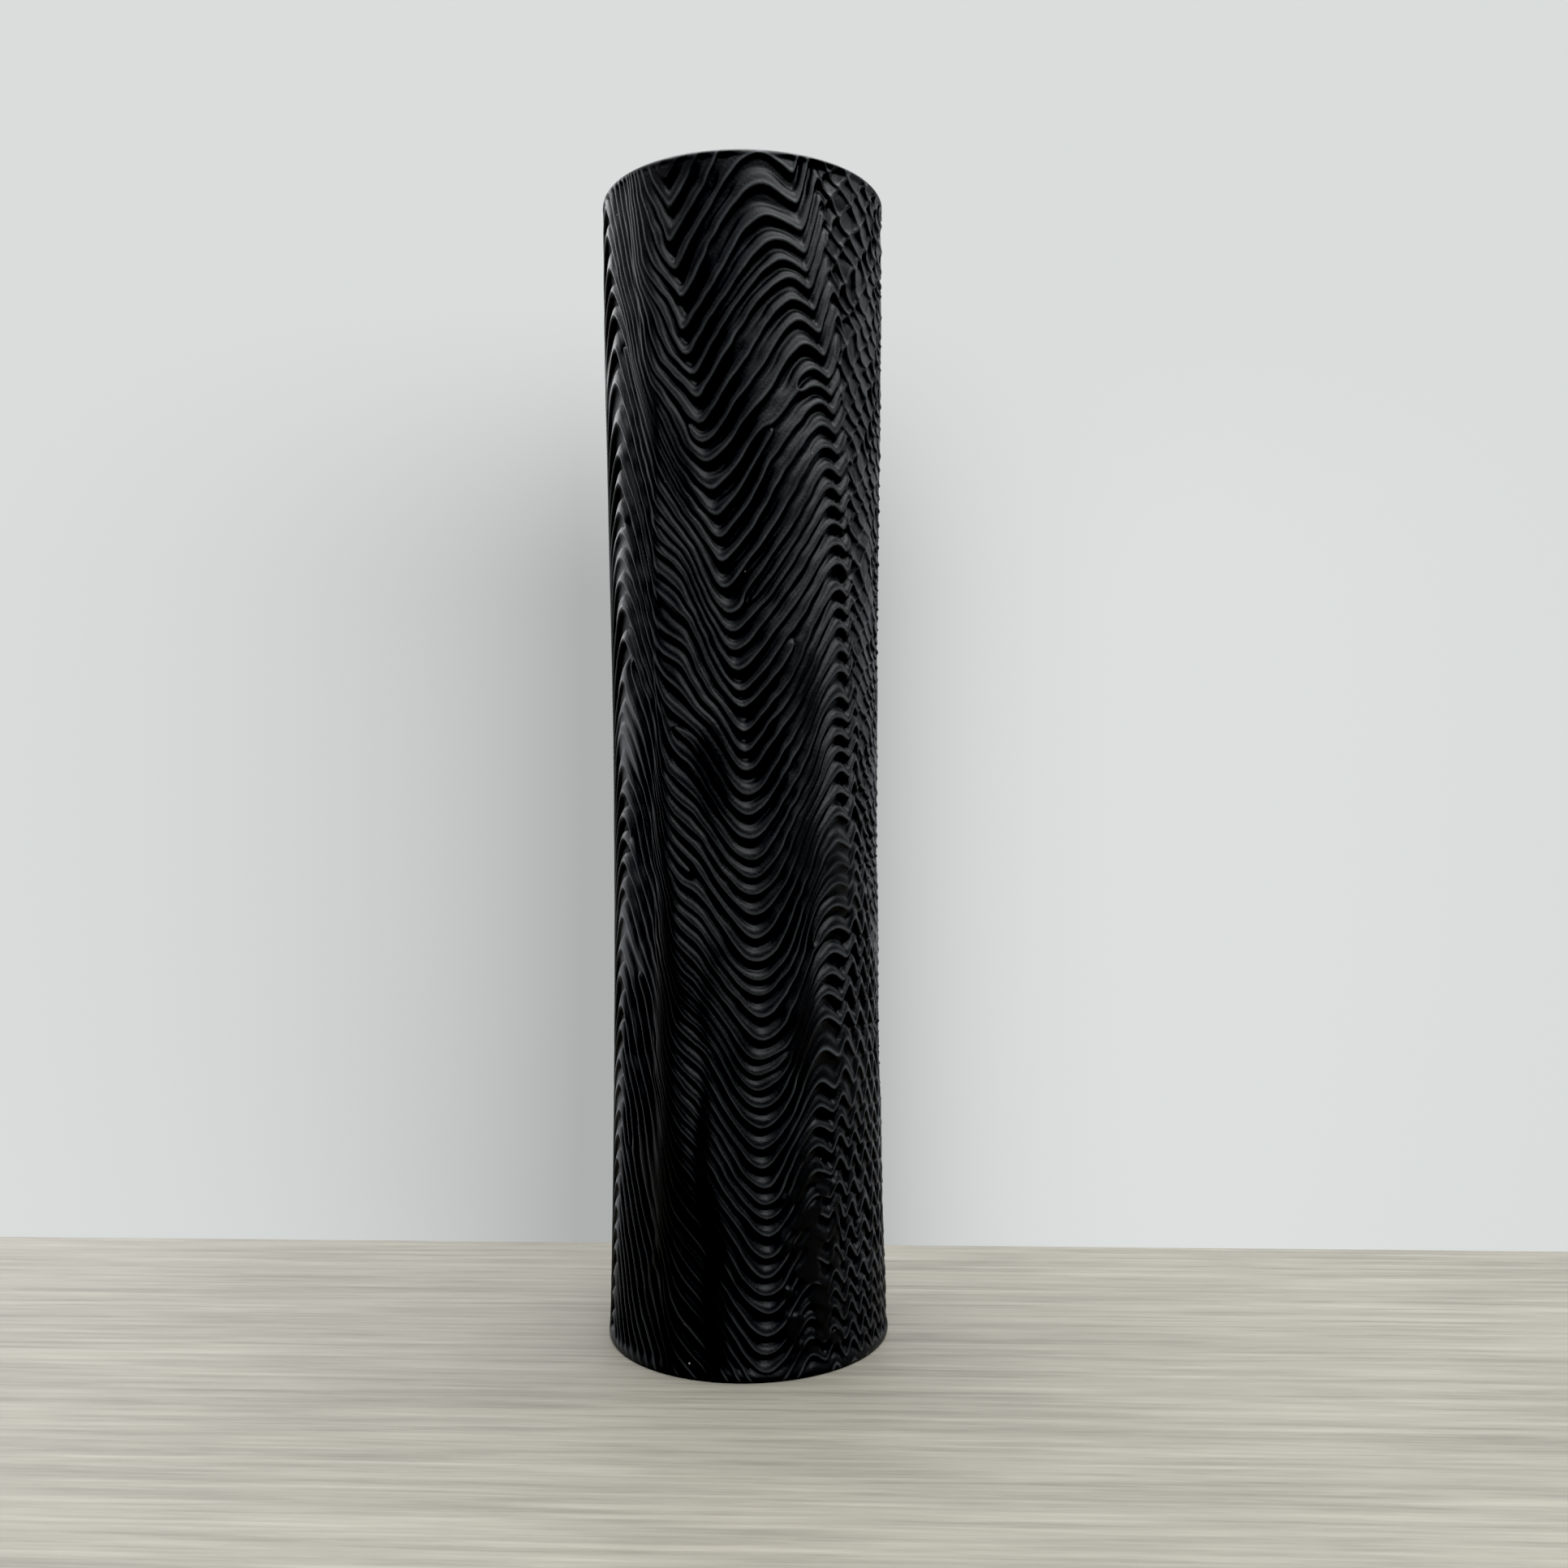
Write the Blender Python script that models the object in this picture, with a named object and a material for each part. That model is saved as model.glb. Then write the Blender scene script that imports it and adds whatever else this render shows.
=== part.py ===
"""A tall stoneware vase: a waisted cylinder with a rebated foot, closed by a round floor slab.

Four pieces, all turned about +Z, which is the vase's own axis:
  vase_wall        the clay cylinder, from the ring that it stands on up to the rounded rim
  floor_disc       the clay slab that closes the foot, seated up in the wall's rebate
  corner_coil      the roll of clay pressed into the inside corner, between wall and floor
  glaze_lining     the glassy coat that makes the inside hold water

The origin is on the axis, in the plane that the vase stands on. Lengths are in metres.
"""

import math

import bpy

MM = 0.001

# The outside, over the crests of the carved relief.
HEIGHT = 340.0 * MM
RIM_RADIUS = 42.5 * MM
WAIST_RADIUS = 40.1 * MM
FOOT_RADIUS = 42.15 * MM
WAIST_HEIGHT = 145.0 * MM

# The wall and its two ends.
WALL = 5.8 * MM
RIM_OUTER_ROUND = 1.4 * MM
RIM_INNER_ROUND = 2.2 * MM
FOOT_OUTER_ROUND = 0.8 * MM
FOOT_INNER_BEVEL = 0.8 * MM

# The floor slab, its seat in the wall, and the layer of slip round each luted piece.
SLIP = 0.3 * MM
FLOOR_THICKNESS = 6.5 * MM
FLOOR_LIFT = 2.5 * MM
SEAT_LEDGE = 1.6 * MM
FLOOR_EDGE_ROUND = 0.6 * MM

# The coil is thumbed into a hollow quarter round, whose feather edges are trimmed off.
COIL_LEG = 7.0 * MM
COIL_TRIM = math.radians(15)

# The glaze, which was poured in and out, and ends a little below the rim.
GLAZE = 0.6 * MM
GLAZE_BELOW_RIM = 4.0 * MM

# How finely the turned shapes are cut.
SEGMENTS = 64
OUTER_RINGS = 14
INNER_RINGS = 9
ROUND_STEPS = 3
COIL_STEPS = 5

# Directions in a profile, for where an arc starts and ends.
OUT, UP, IN, DOWN = 0, math.pi / 2, math.pi, -math.pi / 2


# Shape ----------------------------------------------------------------------------------

def outer_radius(height):
    """The outside radius: narrowest at the waist, easing out to the rim and flaring to the foot."""
    if height >= WAIST_HEIGHT:
        share = (height - WAIST_HEIGHT) / (HEIGHT - WAIST_HEIGHT)
        return WAIST_RADIUS + (RIM_RADIUS - WAIST_RADIUS) * share * share * (3 - 2 * share)
    share = (WAIST_HEIGHT - height) / WAIST_HEIGHT
    return WAIST_RADIUS + (FOOT_RADIUS - WAIST_RADIUS) * share * share


def inner_radius(height):
    """The inside of the clay, which follows the outside at the wall's thickness."""
    return outer_radius(height) - WALL


def levels(start, end, count):
    """Count heights from start to end, both included."""
    return [start + (end - start) * i / (count - 1) for i in range(count)]


def arc(centre, radius, start, end, steps):
    """Points (r, z) round an arc, by angles in radians from the +r direction towards +z."""
    turns = levels(start, end, steps + 1)
    return [(centre[0] + radius * math.cos(a), centre[1] + radius * math.sin(a)) for a in turns]


def turned(name, profile, material, closed=True):
    """An object turned about Z from a profile of (r, z) points that runs down its outer side."""
    edges = [(i, i + 1) for i in range(len(profile) - 1)]
    if closed:
        edges.append((len(profile) - 1, 0))
    mesh = bpy.data.meshes.new(name)
    mesh.from_pydata([(r, 0.0, z) for r, z in profile], edges, [])
    mesh.materials.append(material)
    piece = bpy.data.objects.new(name, mesh)
    bpy.context.scene.collection.objects.link(piece)
    spin = piece.modifiers.new("Turn", "SCREW")
    spin.axis = "Z"
    spin.angle = math.tau
    spin.steps = SEGMENTS
    spin.render_steps = SEGMENTS
    spin.use_merge_vertices = True
    spin.merge_threshold = 0.00001
    spin.use_smooth_shade = True
    return piece


def finish(name, colour, roughness):
    """A plain fired finish."""
    material = bpy.data.materials.new(name)
    material.use_nodes = True
    shader = material.node_tree.nodes["Principled BSDF"]
    shader.inputs["Base Color"].default_value = (*colour, 1.0)
    shader.inputs["Roughness"].default_value = roughness
    shader.inputs["Metallic"].default_value = 0.0
    return material


# Places that more than one piece meets ----------------------------------------------------

FLOOR_TOP = FLOOR_LIFT + FLOOR_THICKNESS
LEDGE_HEIGHT = FLOOR_TOP + SLIP
SEAT_RADIUS = inner_radius(LEDGE_HEIGHT) + SEAT_LEDGE
COIL_BOTTOM = FLOOR_TOP + SLIP
COIL_CENTRE = (inner_radius(COIL_BOTTOM + COIL_LEG) - SLIP - COIL_LEG, COIL_BOTTOM + COIL_LEG)
BESIDE_COIL = COIL_CENTRE[0] - COIL_LEG / 2
ABOVE_COIL = COIL_CENTRE[1] + COIL_LEG / 2
SHAFT = levels(ABOVE_COIL, HEIGHT - GLAZE_BELOW_RIM, INNER_RINGS)


# Pieces -----------------------------------------------------------------------------------

def vase_wall(clay):
    """The cylinder: rounded rim, waisted outside, standing ring, rebate for the floor, inside."""
    outer_top = HEIGHT - RIM_OUTER_ROUND
    inner_top = HEIGHT - RIM_INNER_ROUND
    rim_outer_centre = (RIM_RADIUS - RIM_OUTER_ROUND, outer_top)
    rim_inner_centre = (inner_radius(inner_top) + RIM_INNER_ROUND, inner_top)
    foot_centre = (FOOT_RADIUS - FOOT_OUTER_ROUND, FOOT_OUTER_ROUND)
    outside = levels(outer_top, FOOT_OUTER_ROUND, OUTER_RINGS)

    profile = arc(rim_outer_centre, RIM_OUTER_ROUND, UP, OUT, ROUND_STEPS)
    profile += [(outer_radius(z), z) for z in outside[1:-1]]
    profile += arc(foot_centre, FOOT_OUTER_ROUND, OUT, DOWN, ROUND_STEPS)
    profile += [(SEAT_RADIUS + FOOT_INNER_BEVEL, 0), (SEAT_RADIUS, FOOT_INNER_BEVEL)]
    profile += [(SEAT_RADIUS, LEDGE_HEIGHT)]
    profile += [(inner_radius(z), z) for z in [LEDGE_HEIGHT] + SHAFT]
    profile += arc(rim_inner_centre, RIM_INNER_ROUND, IN, UP, ROUND_STEPS)
    return turned("vase_wall", profile, clay)


def floor_disc(clay):
    """The slab, with eased edges, a layer of slip short of its seat."""
    edge = SEAT_RADIUS - SLIP - FLOOR_EDGE_ROUND
    top, bottom = FLOOR_TOP - FLOOR_EDGE_ROUND, FLOOR_LIFT + FLOOR_EDGE_ROUND
    profile = [(0, FLOOR_TOP)]
    profile += arc((edge, top), FLOOR_EDGE_ROUND, UP, OUT, ROUND_STEPS)
    profile += arc((edge, bottom), FLOOR_EDGE_ROUND, OUT, DOWN, ROUND_STEPS)
    profile += [(0, FLOOR_LIFT)]
    return turned("floor_disc", profile, clay, closed=False)


def coil_face(radius):
    """The coil's hollow face, or a line parallel to it, from the wall down to the floor."""
    return arc(COIL_CENTRE, radius, OUT - COIL_TRIM, DOWN + COIL_TRIM, COIL_STEPS)


def corner_coil(clay):
    """The coil: its back follows the wall, its foot lies on the floor, its face is hollow."""
    face = coil_face(COIL_LEG)
    top = face[0][1]
    profile = [(inner_radius(top) - SLIP, top)]
    profile += [(inner_radius(COIL_BOTTOM) - SLIP, COIL_BOTTOM)]
    profile += [(face[-1][0], COIL_BOTTOM)]
    profile += face[::-1]
    return turned("corner_coil", profile, clay)


def lining_side(gap):
    """One face of the glaze, that distance in from the clay, from its top down to the axis."""
    side = [(inner_radius(z) - gap, z) for z in reversed(SHAFT)]
    floor = [(BESIDE_COIL, FLOOR_TOP + gap), (0, FLOOR_TOP + gap)]
    return side + coil_face(COIL_LEG - gap) + floor


def glaze_lining(glass):
    """The coat of glaze: a thin cup, open at the top, that lies over wall, coil and floor."""
    back = lining_side(SLIP)
    front = lining_side(SLIP + GLAZE)
    return turned("glaze_lining", front[::-1] + back, glass, closed=False)


def main():
    for old in list(bpy.data.objects):
        bpy.data.objects.remove(old, do_unlink=True)
    slipped = finish("black_slip", (0.016, 0.016, 0.018), 0.5)
    bare = finish("bare_stoneware", (0.045, 0.038, 0.033), 0.85)
    glossy = finish("black_gloss_glaze", (0.010, 0.010, 0.011), 0.15)
    vase_wall(slipped)
    floor_disc(bare)
    corner_coil(bare)
    glaze_lining(glossy)


main()
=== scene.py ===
# %% [markdown]
# # A tall stoneware vase with a grain of carved ridges
#
# The vase is a waisted clay cylinder. Its outside is carved into ridges that run down into
# valleys, climb over arches and break into a net of small scales, like the grain of a cut log.
# Each cell below makes one thing: the frame, the camera, the relief, the carved wall, the
# finishes, the floor and the light. The solid model gives the real size and place of each piece.

# %% The frame
import math

import bpy
import numpy as np
from mathutils import Euler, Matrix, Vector


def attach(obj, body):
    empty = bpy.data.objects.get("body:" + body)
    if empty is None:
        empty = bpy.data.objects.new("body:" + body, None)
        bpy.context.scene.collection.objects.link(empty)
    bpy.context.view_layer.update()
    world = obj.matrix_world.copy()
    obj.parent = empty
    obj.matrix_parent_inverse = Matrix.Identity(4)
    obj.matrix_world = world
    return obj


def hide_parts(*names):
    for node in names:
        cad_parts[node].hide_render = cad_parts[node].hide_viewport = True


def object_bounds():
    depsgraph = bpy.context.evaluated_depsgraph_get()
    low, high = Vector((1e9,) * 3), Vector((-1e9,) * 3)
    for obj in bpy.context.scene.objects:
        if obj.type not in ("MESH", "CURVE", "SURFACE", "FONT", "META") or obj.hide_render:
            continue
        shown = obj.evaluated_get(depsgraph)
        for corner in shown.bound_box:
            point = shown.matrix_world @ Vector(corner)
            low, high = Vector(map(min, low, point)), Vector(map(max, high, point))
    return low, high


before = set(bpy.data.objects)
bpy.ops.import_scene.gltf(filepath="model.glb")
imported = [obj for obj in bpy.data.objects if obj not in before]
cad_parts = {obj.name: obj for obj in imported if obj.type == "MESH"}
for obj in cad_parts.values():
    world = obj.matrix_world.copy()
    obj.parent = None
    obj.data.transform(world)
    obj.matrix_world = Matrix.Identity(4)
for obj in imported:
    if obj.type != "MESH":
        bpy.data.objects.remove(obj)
solid_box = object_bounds()
MM = 0.001
HEIGHT = solid_box[1].z / MM
print("solid model:", [round(side / MM, 1) for side in solid_box[1] - solid_box[0]], "mm")

# %% [markdown]
# ## The camera
#
# The camera stands about 43 cm in front of the vase, at half its height, with a lens a little
# wider than normal. That near, the rim is seen from below and the floor from above, so both ends
# of the vase curve. It comes first, because everything after it is judged through it.

# %% The camera
lens = bpy.data.cameras.new("studio_camera")
lens.lens = 32.37
lens.sensor_width = 36.0
lens.clip_start = 0.01
camera = bpy.data.objects.new("studio_camera", lens)
camera.location = (0.0116, -0.4297, 0.1635)
camera.rotation_euler = Euler((math.radians(90.18), 0, 0), "XYZ")
camera.rotation_euler.rotate_axis("Z", math.radians(-0.33))
bpy.context.scene.collection.objects.link(camera)
bpy.context.scene.camera = camera
print("camera:", round(camera.location.length / MM), "mm from the foot, with a lens of", lens.lens, "mm")

# %% [markdown]
# ## The outline of the clay
#
# A turned pot is one outline, swung round its axis. The outline is read from the solid wall: the
# points of it that lie in one half plane, walked from edge to edge. Typing it in again would work
# too, but it would then be wrong as soon as someone changed the solid wall.

# %% The outline of the clay
ON_PLANE = 0.001


def solid_outline(node):
    """The (radius, height) points of a turned solid's outline, in order, in millimetres."""
    points = np.array([vertex.co for vertex in node.data.vertices]) / MM
    in_half_plane = (np.abs(points[:, 1]) < ON_PLANE) & (points[:, 0] > ON_PLANE)
    spots = [(round(x, 3), round(z, 3)) if near else None
             for near, (x, _, z) in zip(in_half_plane, points.tolist())]
    beside = {}
    for a, b in [edge.vertices for edge in node.data.edges]:
        if spots[a] and spots[b] and spots[a] != spots[b]:
            beside.setdefault(spots[a], set()).add(spots[b])
            beside.setdefault(spots[b], set()).add(spots[a])
    start = max(beside, key=lambda spot: (spot[1], spot[0]))
    walk = [start, max(beside[start])]
    while walk[-1] != start:
        walk.append(*(beside[walk[-1]] - {walk[-2]}))
    return np.array(walk[:-1])


outline = solid_outline(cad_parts["vase_wall"])
print("solid outline:", len(outline), "points, starting at", outline[0], "mm")

# %% [markdown]
# ## Curves through a few points
#
# Most features of the grain drift slowly from the foot to the rim. A feature is therefore a
# short list of (height, value) points with an eased curve through them. Heights are in
# millimetres, and bearings are in degrees from the front, growing towards the right.

# %% Curves through a few points
EASE_MM = 14


def through(points, at):
    """An eased curve through (height, value) points, level beyond both ends."""
    heights, values = np.array(sorted(points), float).T
    steps = np.arange(heights[0] - 3 * EASE_MM, heights[-1] + 3 * EASE_MM)
    kernel = np.hanning(2 * EASE_MM + 1)
    rough = np.pad(np.interp(steps, heights, values), EASE_MM, mode="edge")
    return np.interp(at, steps, np.convolve(rough, kernel / kernel.sum(), mode="valid"))


example = [(0, 0), (100, 10)]
print("from 0 at the foot to 10 at 100 mm:", through(example, np.array([0, 25, 50, 75, 100])).round(1))

# %% [markdown]
# ## A line folded over the wall
#
# Every ridge is one long line that folds down and up as it goes round the vase. The lines could
# be drawn by hand, but neighbouring ridges wouldn't nest then. Here each ridge has a label, the
# height of its valley, and each fold of it has a bearing, a rise above the label and a
# roundness, which may all drift with the label. A soft ramp turns the slope at each fold.

# %% A line folded over the wall
LABEL_STEP = 0.8
LABELS = np.arange(-160, 400, LABEL_STEP)
RISING = 1e-6


def folded(bearings, folds):
    """The rise of each ridge (rows, by label) at each bearing (columns)."""
    across = bearings[None, :]
    columns = [[np.broadcast_to(part, LABELS.shape)[:, None] for part in fold] for fold in folds]
    slopes = [(b[1] - a[1]) / (b[0] - a[0]) for a, b in zip(columns, columns[1:])]
    rise = columns[0][1] + slopes[0] * (across - columns[0][0])
    for (at, _, ease), before, after in zip(columns[1:-1], slopes, slopes[1:]):
        rise = rise + (after - before) * ease * np.logaddexp(0, (across - at) / ease)
    return rise


def labels_at(rise, heights):
    """The label of the ridge that passes through each height (rows) at each bearing (columns)."""
    lines = np.maximum.accumulate(LABELS[:, None] + rise, axis=0)
    lines = lines + RISING * np.arange(len(LABELS))[:, None]
    return np.stack([np.interp(heights, line, LABELS) for line in lines.T], axis=1)


print("ridges can be drawn for", len(LABELS), "labels, from", LABELS[0], "to", round(LABELS[-1], 1), "mm")

# %% [markdown]
# ## The valley, the arches and the zigzags
#
# From left to right, a ridge of the main family drops over a shoulder into a valley, climbs a
# long flank to an arch, drops sharply into a notch, leaps to a peak, and goes on in short
# zigzags. The valley is pointed near the rim and a round smile near the foot. Each feature is a
# bearing and a rise that drift with the label, so a point in these lists moves all the ridges
# near it, and they still nest.

# %% The valley, the arches and the zigzags
ZIGZAGS = 8


def valley_and_arches(bearings):
    """The main family of ridges, labelled by the height of its valley."""
    s = LABELS
    valley = through([(340, -30), (300, -25), (265, -16), (230, -8), (190, -2), (144, 2.5), (88, 6),
                      (31, 9)], s)
    valley_round = through([(320, 0.6), (230, 1.3), (200, 2.4), (150, 3.6), (90, 4.3), (0, 4.7)], s)
    outer = through([(320, -37), (253, -29), (216, -26), (155, -21), (133, -17), (73, -18), (20, -15)], s)
    outer_rise = through([(320, 14), (253, 13), (216, 24), (184, 33), (155, 26), (133, 20), (73, 28),
                          (20, 32)], s)
    inner = through([(320, -42), (253, -39), (184, -40), (155, -36), (133, -33), (73, -30), (20, -31)], s)
    inner_rise = through([(320, 24), (253, 27), (216, 36), (184, 42), (155, 33), (133, 26), (73, 34),
                          (20, 42)], s)
    arch = through([(320, 3), (302, 7), (284, 14.5), (267, 20), (240, 29), (228, 33), (206, 38), (185, 42),
                    (165, 44), (120, 44), (80, 40), (56, 33), (30, 29), (0, 26)], s)
    arch_rise = through([(340, 33), (300, 32), (253, 38), (216, 46), (165, 49), (120, 47), (80, 39),
                         (30, 26), (0, 23)], s)
    arch_round = through([(310, 2.6), (250, 2.2), (60, 2), (0, 1.5)], s)
    notch = through([(310, 20), (284, 26), (267, 30), (228, 40), (206, 44), (185, 48), (106, 50), (83, 48),
                     (62, 43), (45, 39), (20, 35), (0, 33)], s)
    flank = valley + np.minimum(14, 0.4 * (arch - valley))
    flank_rise = through([(310, 14), (165, 14), (120, 13), (60, 11.5), (0, 10)], s)
    shoulder = arch - np.minimum(10, 0.35 * (arch - valley))
    shoulder_rise = arch_rise - through([(300, 6), (216, 10), (160, 9), (100, 7.5), (40, 6)], s)
    notch_rise = arch_rise - through([(300, 6), (240, 5), (180, 4)], s)
    folds = [(inner - 16, inner_rise + 52, 2), (inner - 5, inner_rise + 17, 1.5), (inner, inner_rise, 1.8),
             (outer, outer_rise, 1.8), (valley, 0, valley_round), (flank, flank_rise, 3),
             (shoulder, shoulder_rise, 2.2), (arch, arch_rise, arch_round), (notch, notch_rise, 0.5)]
    bearing = notch + through([(310, 7), (225, 7), (200, 4.5)], s)
    rise = notch_rise + through([(310, 19), (255, 15), (225, 9), (200, 6)], s)
    folds.append((bearing, rise, 0.6))
    for _ in range(ZIGZAGS):
        bearing = bearing + through([(300, 7.5), (250, 6), (200, 4.2), (0, 4.6)], s)
        rise = rise - through([(300, 8), (250, 7.5), (200, 6.5)], s)
        folds.append((bearing, rise, 0.5))
        bearing = bearing + through([(300, 3.5), (200, 3.6), (0, 4)], s)
        rise = rise + through([(300, 6), (200, 6.4), (0, 6)], s)
        folds.append((bearing, rise, 0.5))
    return folded(bearings, folds)


some = valley_and_arches(np.array([-30.0, 0, 30, 45]))[np.searchsorted(LABELS, 200)]
print("rise of the ridge labelled 200, at -30, 0, 30 and 45 degrees:", some.round(1), "mm")

# %% [markdown]
# ## The fan of tall arches
#
# Left of the valley stands a second family: tall, narrow arches nested in each other, whose legs
# fan out and run nearly straight down. It is folded in the same way. The right legs are listed
# by how far they have run and dropped from the top of the arch.

# %% The fan of tall arches
def tall_arches(bearings):
    """The second family of ridges, labelled by the height of its arch."""
    s = LABELS
    top = through([(345, -74), (330, -71), (308, -64), (280, -61), (200, -60), (150, -62), (115, -66),
                   (80, -65), (40, -68), (0, -74)], s)
    folds = [(top - 34, -62, 2), (top - 18, -19, 2), (top - 9, -6.5, 2), (top, 1, 1.6)]
    legs = [([(300, 11), (120, 10.5), (80, 7)], [(300, -12), (200, -10), (120, -7), (80, -14)]),
            ([(0, 18)], [(300, -27), (200, -23), (120, -16), (80, -36)]),
            ([(0, 27)], [(300, -46), (200, -42), (120, -34), (80, -54)]),
            ([(0, 40)], [(300, -78), (200, -74), (120, -66), (80, -86)])]
    folds += [(top + through(run, s), through(drop, s), 2) for run, drop in legs]
    return folded(bearings, folds)


some = tall_arches(np.array([-80.0, -62, -45]))[np.searchsorted(LABELS, 200)]
print("rise of the arch labelled 200, at -80, -62 and -45 degrees:", some.round(1), "mm")

# %% [markdown]
# ## A wandering hand
#
# Nothing that a hand carves is even. Soft random bumps, added up from a few dozen waves that
# each go a whole number of times round the wall, make every ridge wander, thicken and fade,
# and leave no seam at the back.

# %% A wandering hand
MEAN_RADIUS = 41.4
WAVES = 36
SLOWEST = 0.55
FASTEST = 1.1
WAVE_HEIGHT = 0.8


def wander(size, seed, heights, bearings, stretch=1.0):
    """Soft bumps of about that size in mm, mostly from -1 to 1; stretch makes them taller."""
    draw = np.random.default_rng(seed)
    turn = draw.uniform(0, math.tau, WAVES)
    pace = math.tau / size * draw.uniform(SLOWEST, FASTEST, WAVES)
    around = np.round(pace * np.cos(turn) * MEAN_RADIUS)
    upward = pace * np.sin(turn) / stretch
    start = draw.uniform(0, math.tau, WAVES)
    flat = np.radians(bearings)[None, :] * around[:, None] + start[:, None]
    tall = heights[:, None] * upward[None, :]
    total = np.cos(tall) @ np.cos(flat) - np.sin(tall) @ np.sin(flat)
    return total * WAVE_HEIGHT / math.sqrt(WAVES)


def swept(low, high, at):
    """An eased step from 0 at low to 1 at high."""
    share = np.clip((at - low) / (high - low), 0, 1)
    return share * share * (3 - 2 * share)


sample = wander(20, 1, np.arange(0, HEIGHT, 5), np.arange(0, 360, 5))
print("wandering of 20 mm: from", round(sample.min(), 2), "to", round(sample.max(), 2))

# %% [markdown]
# ## The grid of the wall
#
# The relief is first worked out on one grid of numbers, with a row to each quarter of a
# millimetre and a column to each fifth of a degree. Numbers on a grid are easy to blend, smooth
# and bend, and only the finished grid is put onto the clay. Column 0 is at the left edge of the
# front half, so that the front and back halves are two runs of columns.

# %% The grid of the wall
COLUMNS = 1800
HALF = COLUMNS // 2
HALF_START = -90
ROW_GAP = 0.25
COLUMN_GAP = math.tau * MEAN_RADIUS / COLUMNS
bearings = HALF_START + np.arange(COLUMNS) * 360 / COLUMNS
heights = np.arange(0, HEIGHT + ROW_GAP, ROW_GAP)
print("relief grid:", len(heights), "rows of", COLUMNS, "points,", round(COLUMN_GAP, 3), "mm apart")

# %% [markdown]
# ## From lines to relief
#
# A ridge has a crisp crest. Above it the clay slopes inwards, like weatherboard laid the wrong
# way up, to a hollow that the next crest overhangs like a lip. Light from above therefore
# catches each slope and leaves each hollow black. Crowded ridges are cut less deep than wide
# ones, so the depth of the cut follows the distance between the lines.

# %% From lines to relief
DEPTH_PER_GAP = 0.7
NARROWEST = 0.45
DEEPEST = 2.4
LEAST_PACE = 1e-3
WIDTHS_CHANGE_EVERY = 5.0
UNEVEN = 0.28


def ridge_count(labels, pitches, seed):
    """How many ridges lie below each label, where neighbours differ a little in width."""
    pitch = through(pitches, LABELS)
    draw = np.random.default_rng(seed)
    knots = np.arange(LABELS[0], LABELS[-1], WIDTHS_CHANGE_EVERY)
    uneven = np.interp(LABELS, knots, draw.uniform(-UNEVEN, UNEVEN, len(knots)))
    counted = np.cumsum((LABELS[1] - LABELS[0]) / pitch / (1 + uneven))
    return np.interp(labels, LABELS, counted)


def slope_left(share):
    """What is left standing on the slope above a crest, from 1 at the crest to 0 in the hollow."""
    return np.interp(share, [0, 0.05, 0.12, 0.22, 0.33, 0.42, 0.5, 0.58],
                     [1, 0.9, 0.8, 0.74, 0.6, 0.38, 0.12, 0])


def lip_left(share):
    """What is left standing under the next crest, which overhangs the hollow like a lip."""
    return np.interp(share, [0.6, 0.74, 0.86, 0.93, 0.97, 1], [0, 0.04, 0.22, 0.5, 0.8, 1])


def cut_depth(count):
    """How deep the hollows can go between lines that lie this close."""
    pace = np.hypot(*np.gradient(count, ROW_GAP, COLUMN_GAP))
    spare = np.maximum(1 / np.maximum(pace, LEAST_PACE) - NARROWEST, 0)
    return DEEPEST * np.tanh(DEPTH_PER_GAP * spare / DEEPEST)


print("left standing from one crest to the next:",
      np.maximum(slope_left(np.linspace(0, 1, 9)), lip_left(np.linspace(0, 1, 9))).round(2))

# %% [markdown]
# ## Ridges that end or split
#
# Here and there a ridge ends, or splits in two. An angle does it: walking once round a point
# turns it by a full circle, so adding that angle to the count of the ridges puts one ridge more
# on one side of the point than on the other. Each fork is a bearing, a height and a direction.

# %% Ridges that end or split
MAIN_FORKS = [(-20, 265, 1), (12, 262, -1), (3, 215, 1), (22, 205, -1), (24, 275, 1),
              (-28, 180, 1), (-22, 140, -1), (30, 120, 1), (18, 90, -1)]
FAN_FORKS = [(-55, 290, 1), (-57, 240, -1), (-52, 200, 1), (-56, 150, -1), (-50, 110, 1), (-55, 60, -1)]
STRIATIONS = 3
STRIATION_HEIGHT = 0.02
FULLNESS = 0.14
CREST_NARROWS = 3


def forked(count, local, levels, forks):
    """The same count of ridges, with one ridge more or less to a side of each fork."""
    for bearing, height, sign in forks:
        across = np.radians(local - bearing)[None, :] * MEAN_RADIUS
        count = count + sign * np.arctan2((levels - height)[:, None], across) / math.tau
    return count


def ridges(count, local, levels, forks, seed):
    """The cut's depth, the share left standing and the share of a crest, over one family of ridges."""
    share = forked(count, local, levels, forks) % 1
    fine = STRIATION_HEIGHT * np.cos(math.tau * STRIATIONS * share) * np.sin(math.pi * share)
    fuller = 1 + FULLNESS * wander(11, seed, levels, local)
    depth = cut_depth(count)
    left = np.maximum(slope_left(share * fuller), lip_left(share)) + fine
    return depth, left, np.clip(left, 0, 1) ** (2 + CREST_NARROWS * depth)


print(len(MAIN_FORKS), "forks in the main family and", len(FAN_FORKS), "in the fan, on each half")

# %% [markdown]
# ## The net of scales
#
# Right of the zigzags the ridges have broken up into a net of small scales, like the skin of a
# snake. Two sets of slanting crests cross each other, and each cell between them is a scoop that
# gets deeper upwards. Separate scales could be placed one by one, but two crossing counts keep
# them in rows, and they get smaller and lean with the height by themselves.

# %% The net of scales
ROW_WANDER = 0.16
TURN_WANDER = 0.14
ROW_SLANT = 0.14
EDGE_BEND = 0.05
SCALE_DEPTH = 0.32
EDGE_HEIGHT = 0.7
# Painted highlight: how much grey the net's crests get, partly wear and partly in place of the light that
# they catch.
NET_WEAR_AND_HIGHLIGHT = 0.65


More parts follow.
